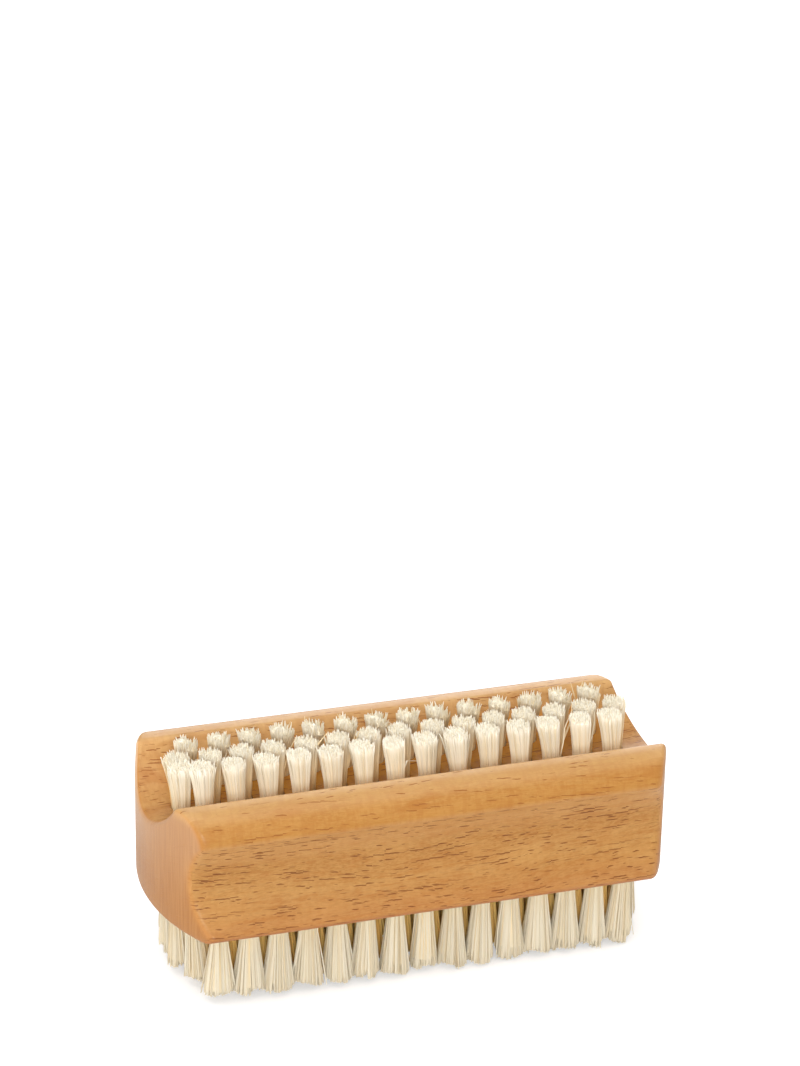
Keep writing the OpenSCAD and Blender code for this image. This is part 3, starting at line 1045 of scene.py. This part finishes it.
def beech():
    """Oiled beech: warm base, long fibres, dark ray flecks along the grain and pinker end grain, with painted
    light: a highlight along the crests, sheen on the end faces and in the groove, light at the channel's ends,
    and shade on the underside and among the tufts.
    """
    g = Graph("beech_oiled")
    at = block_places(g)
    colour, fibres = wood_tone(g, at)
    colour = stains(g, at, zone_tints(g, at, colour))
    fleck = fleck_cover(g, at)
    fleck_colour = g.mix(at.on_bead, WOOD["fleck"], WOOD["bead_fleck"])
    colour = g.mix(g.times(fleck, g.remap(at.outer_bead, 0.0, 1.0, 0.9, 0.72)), colour, fleck_colour)
    colour, end_share = end_grain(g, at, colour)

    # Painted shade: faces that turn down near the foot go darker and redder
    underside_shade = g.remap(g.times(at.normal[2], -1.0), 0.1, 0.7, 0.0, 0.6)
    underside_shade = g.times(underside_shade, g.remap(at.z, FOOT_Z + 1.5, FOOT_Z + 4.0, 1.0, 0.0))
    colour = g.mix(g.times(underside_shade, g.minus(1.0, end_share)), colour, WOOD["underside"])
    # Painted highlight: the top of the beads goes lighter, except on the flecks
    crest = g.times(g.remap(at.z, 36.2, 38.5), 0.35)
    colour = g.mix(g.times(crest, g.minus(1.0, fleck)), colour, WOOD["crest"])

    g.put(g.shader.inputs["Base Color"], colour)
    g.put(g.shader.inputs["Roughness"], g.remap(fibres, 0.3, 0.7, 0.36, 0.48))
    g.shader.inputs["Specular IOR Level"].default_value = 0.32
    g.bump(g.minus(g.times(fibres, 0.5), g.times(fleck, 0.6)), 0.00003)
    return g.material


def bristle(name, colours):
    """Pale natural bristle: each one its own tone, yellower towards the root, with painted warm shade towards
    the root and inside the brush.
    """
    g = Graph(name)
    marks = [g.add("Attribute", attribute_name=label) for label in ("tone", "along", "warm_shade_share")]
    tone, along, warm_shade_share = (mark.outputs["Fac"] for mark in marks)
    colour = g.mix(g.remap(along, 0.0, 0.6), colours["root"], colours["body"])
    colour = g.mix(g.remap(along, 0.75, 1.0), colour, colours["tip"])
    colour = g.mix(g.remap(tone, 0.4, 1.0, 0.0, 0.5), colour, colours["dark"])
    # painted warm shade towards the roots and inside the brush
    colour = g.mix(g.times(warm_shade_share, 0.9), colour, colours["inner"])
    g.put(g.shader.inputs["Base Color"], colour)
    g.shader.inputs["Roughness"].default_value = 0.42
    return g.material


def wire():
    """Drawn anchor wire, faintly streaked along its length."""
    g = Graph("anchor_wire_steel")
    streak = g.noise(g.millimetres(), (3.0, 0.08, 0.08))
    g.put(g.shader.inputs["Base Color"], g.mix(streak, WIRE["dark"], WIRE["light"]))
    g.put(g.shader.inputs["Roughness"], g.remap(streak, 0.3, 0.7, 0.28, 0.42))
    g.shader.inputs["Metallic"].default_value = 1.0
    return g.material


# The brush


def cover(piece, material):
    """Gives a piece one material."""
    piece.data.materials.clear()
    piece.data.materials.append(material)


def dress(piece, material, slot, *nodes):
    """Gives a piece its material and its place in the frame."""
    cover(piece, material)
    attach(piece, "root")
    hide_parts(*nodes)


def build(frame):
    """Everything that belongs to the brush."""
    dress(wood_block(), beech(), "beech", "wood_block")
    upper = bristle("bristle_upper", UPPER_BRISTLE)
    lower = bristle("bristle_lower", LOWER_BRISTLE)
    for number, (row, spots) in enumerate(top_rows().items()):
        style = dict(TOP_STYLE, **TOP_ROWS[row])
        tips_z = FOOT_Z + BLOCK_H + TOP_STANDS[row]
        seed = SEED + number
        made = bristle_row(f"tufts_top_{row}", spots, 1, tips_z, TOP_TIP_R, style, seed, LOOSE[row])
        dress(made, upper, "upper_bristle", f"top_{row}_bristles")
    for number, spots in enumerate(bottom_rows(), 1):
        style = dict(BOTTOM_STYLE, **BOTTOM_ROW_STYLES.get(number, {}))
        loose = BOTTOM_LOOSE.get(number, ())
        seed = SEED + LOWER_SEED + number
        made = bristle_row(f"tufts_bottom_{number}", spots, -1, 0.0, BOTTOM_TIP_R, style, seed, loose)
        dress(made, lower, "lower_bristle", f"bottom_bristles_{number}")
    metal = wire()
    for name, node in frame["nodes"].items():
        if "anchor" in name:
            cover(node, metal)


# Stage


def floor():
    """A plain pale floor that shows as white where no shadow falls."""
    far = FLOOR_HALF
    corners = [(-far, -far, 0), (far, -far, 0), (far, far, 0), (-far, far, 0)]
    made = mesh_object("floor", corners, [(0, 1, 2, 3)])
    material = bpy.data.materials.new("floor_white")
    nodes = Nodes(material)
    seen_ray = nodes.add("LightPath").outputs["Is Camera Ray"]
    lift = nodes.add("Math", seen_ray, FLOOR_GLOW, operation="MULTIPLY")
    glow = nodes.add("Emission", (1, 1, 1, 1), lift.outputs[0])
    diffuse = nodes.add("BsdfDiffuse", (FLOOR_WHITE, FLOOR_WHITE, FLOOR_WHITE, 1))
    both = nodes.add("AddShader", diffuse.outputs[0], glow.outputs[0])
    nodes.add("OutputMaterial", both.outputs[0])
    made.data.materials.append(material)


def world():
    """Even white surroundings, shown as plain white behind the object."""
    made = bpy.data.worlds.new("studio")
    bpy.context.scene.world = made
    nodes = Nodes(made)
    seen_ray = nodes.add("LightPath").outputs["Is Camera Ray"]
    strength = nodes.add("MapRange", seen_ray, 0.0, 1.0, WORLD_LIGHT, WORLD_SHOWN)
    back = nodes.add("Background", (1, 1, 1, 1), strength.outputs[0])
    nodes.add("OutputWorld", back.outputs[0])


def lamp(name, place, target, size, watts):
    """A square soft light."""
    data = bpy.data.lights.new(name, "AREA")
    data.shape, data.size, data.energy = "SQUARE", size * MM, watts
    made = placed(name, data)
    made.location = Vector(place) * MM
    made.rotation_euler = (Vector(place) - Vector(target)).to_track_quat("Z", "Y").to_euler()


def camera():
    """The photograph's viewpoint."""
    az, el, roll = (math.radians(a) for a in (CAMERA_AZIMUTH, CAMERA_ELEVATION, CAMERA_ROLL))
    back = Vector((math.sin(az) * math.cos(el), -math.cos(az) * math.cos(el), math.sin(el)))
    right = (-back).cross(Vector((0, 0, 1))).normalized()
    up = back.cross(right)
    turned = right * math.cos(roll) + up * math.sin(roll)
    over = up * math.cos(roll) - right * math.sin(roll)
    data = bpy.data.cameras.new("camera")
    data.sensor_width = SENSOR
    data.lens = FOCAL_PX * SENSOR / max(PHOTO_W, PHOTO_H)
    made = placed("camera", data)
    place = (Vector(CAMERA_TARGET) + back * CAMERA_DISTANCE) * MM
    made.matrix_world = Matrix.Translation(place) @ Matrix((turned, over, back)).transposed().to_4x4()
    bpy.context.scene.camera = made


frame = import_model()
build(frame)
floor()
world()
for name, settings in LAMPS.items():
    lamp(name, *settings)
camera()
bpy.context.scene.view_settings.view_transform = "Standard"
